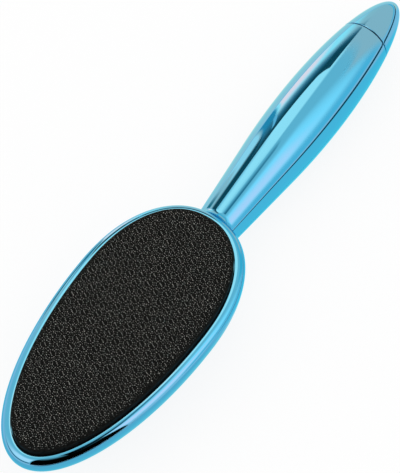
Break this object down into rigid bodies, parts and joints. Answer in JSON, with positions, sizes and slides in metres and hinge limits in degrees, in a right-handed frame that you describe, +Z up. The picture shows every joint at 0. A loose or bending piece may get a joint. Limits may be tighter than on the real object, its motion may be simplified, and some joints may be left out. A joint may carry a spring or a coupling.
{
  "type": "foot file",
  "caption": "Egg-shaped foot file: a black toothed plate set proud in the rim of a bowl-backed head, on a hollow spindle handle with a pull-off tip.",
  "frame": {"origin": "centre of the flat on the underside of the head, below the head's widest station, on the surface that the file lies on", "axes": "+X along the handle from the head to the tip, +Z up with the file plate on top, +Y to the left seen from above with the tip ahead"},
  "size_m": [0.254, 0.0604, 0.0294],
  "materials": {
    "plated_shell": "moulded plastic with a sky-blue electroplated metallic coat, mirror gloss",
    "file_plate": "black glass plate, polished edge, top face etched with rows of toothed rings",
    "tape": "double-sided acrylic foam tape",
    "screw_steel": "zinc-plated steel, slotted pan head",
    "inner_plastic": "unplated natural moulded plastic",
    "ring_rubber": "plain black rubber"
  },
  "bodies": {
    "file": {"upper_shell": "plated_shell", "lower_shell": "plated_shell", "file_plate": "file_plate", "plate_tape": "tape", "shell_screws": "screw_steel", "end_plug": "inner_plastic", "plug_ring": "ring_rubber"},
    "tip": {"tip_cap": "plated_shell", "cap_liner": "inner_plastic"}
  },
  "joints": [
    {"name": "cap_pull", "type": "slide", "parent": "file", "child": "tip", "axis": [1, 0, 0], "range_m": [0, 0.03]}
  ]
}
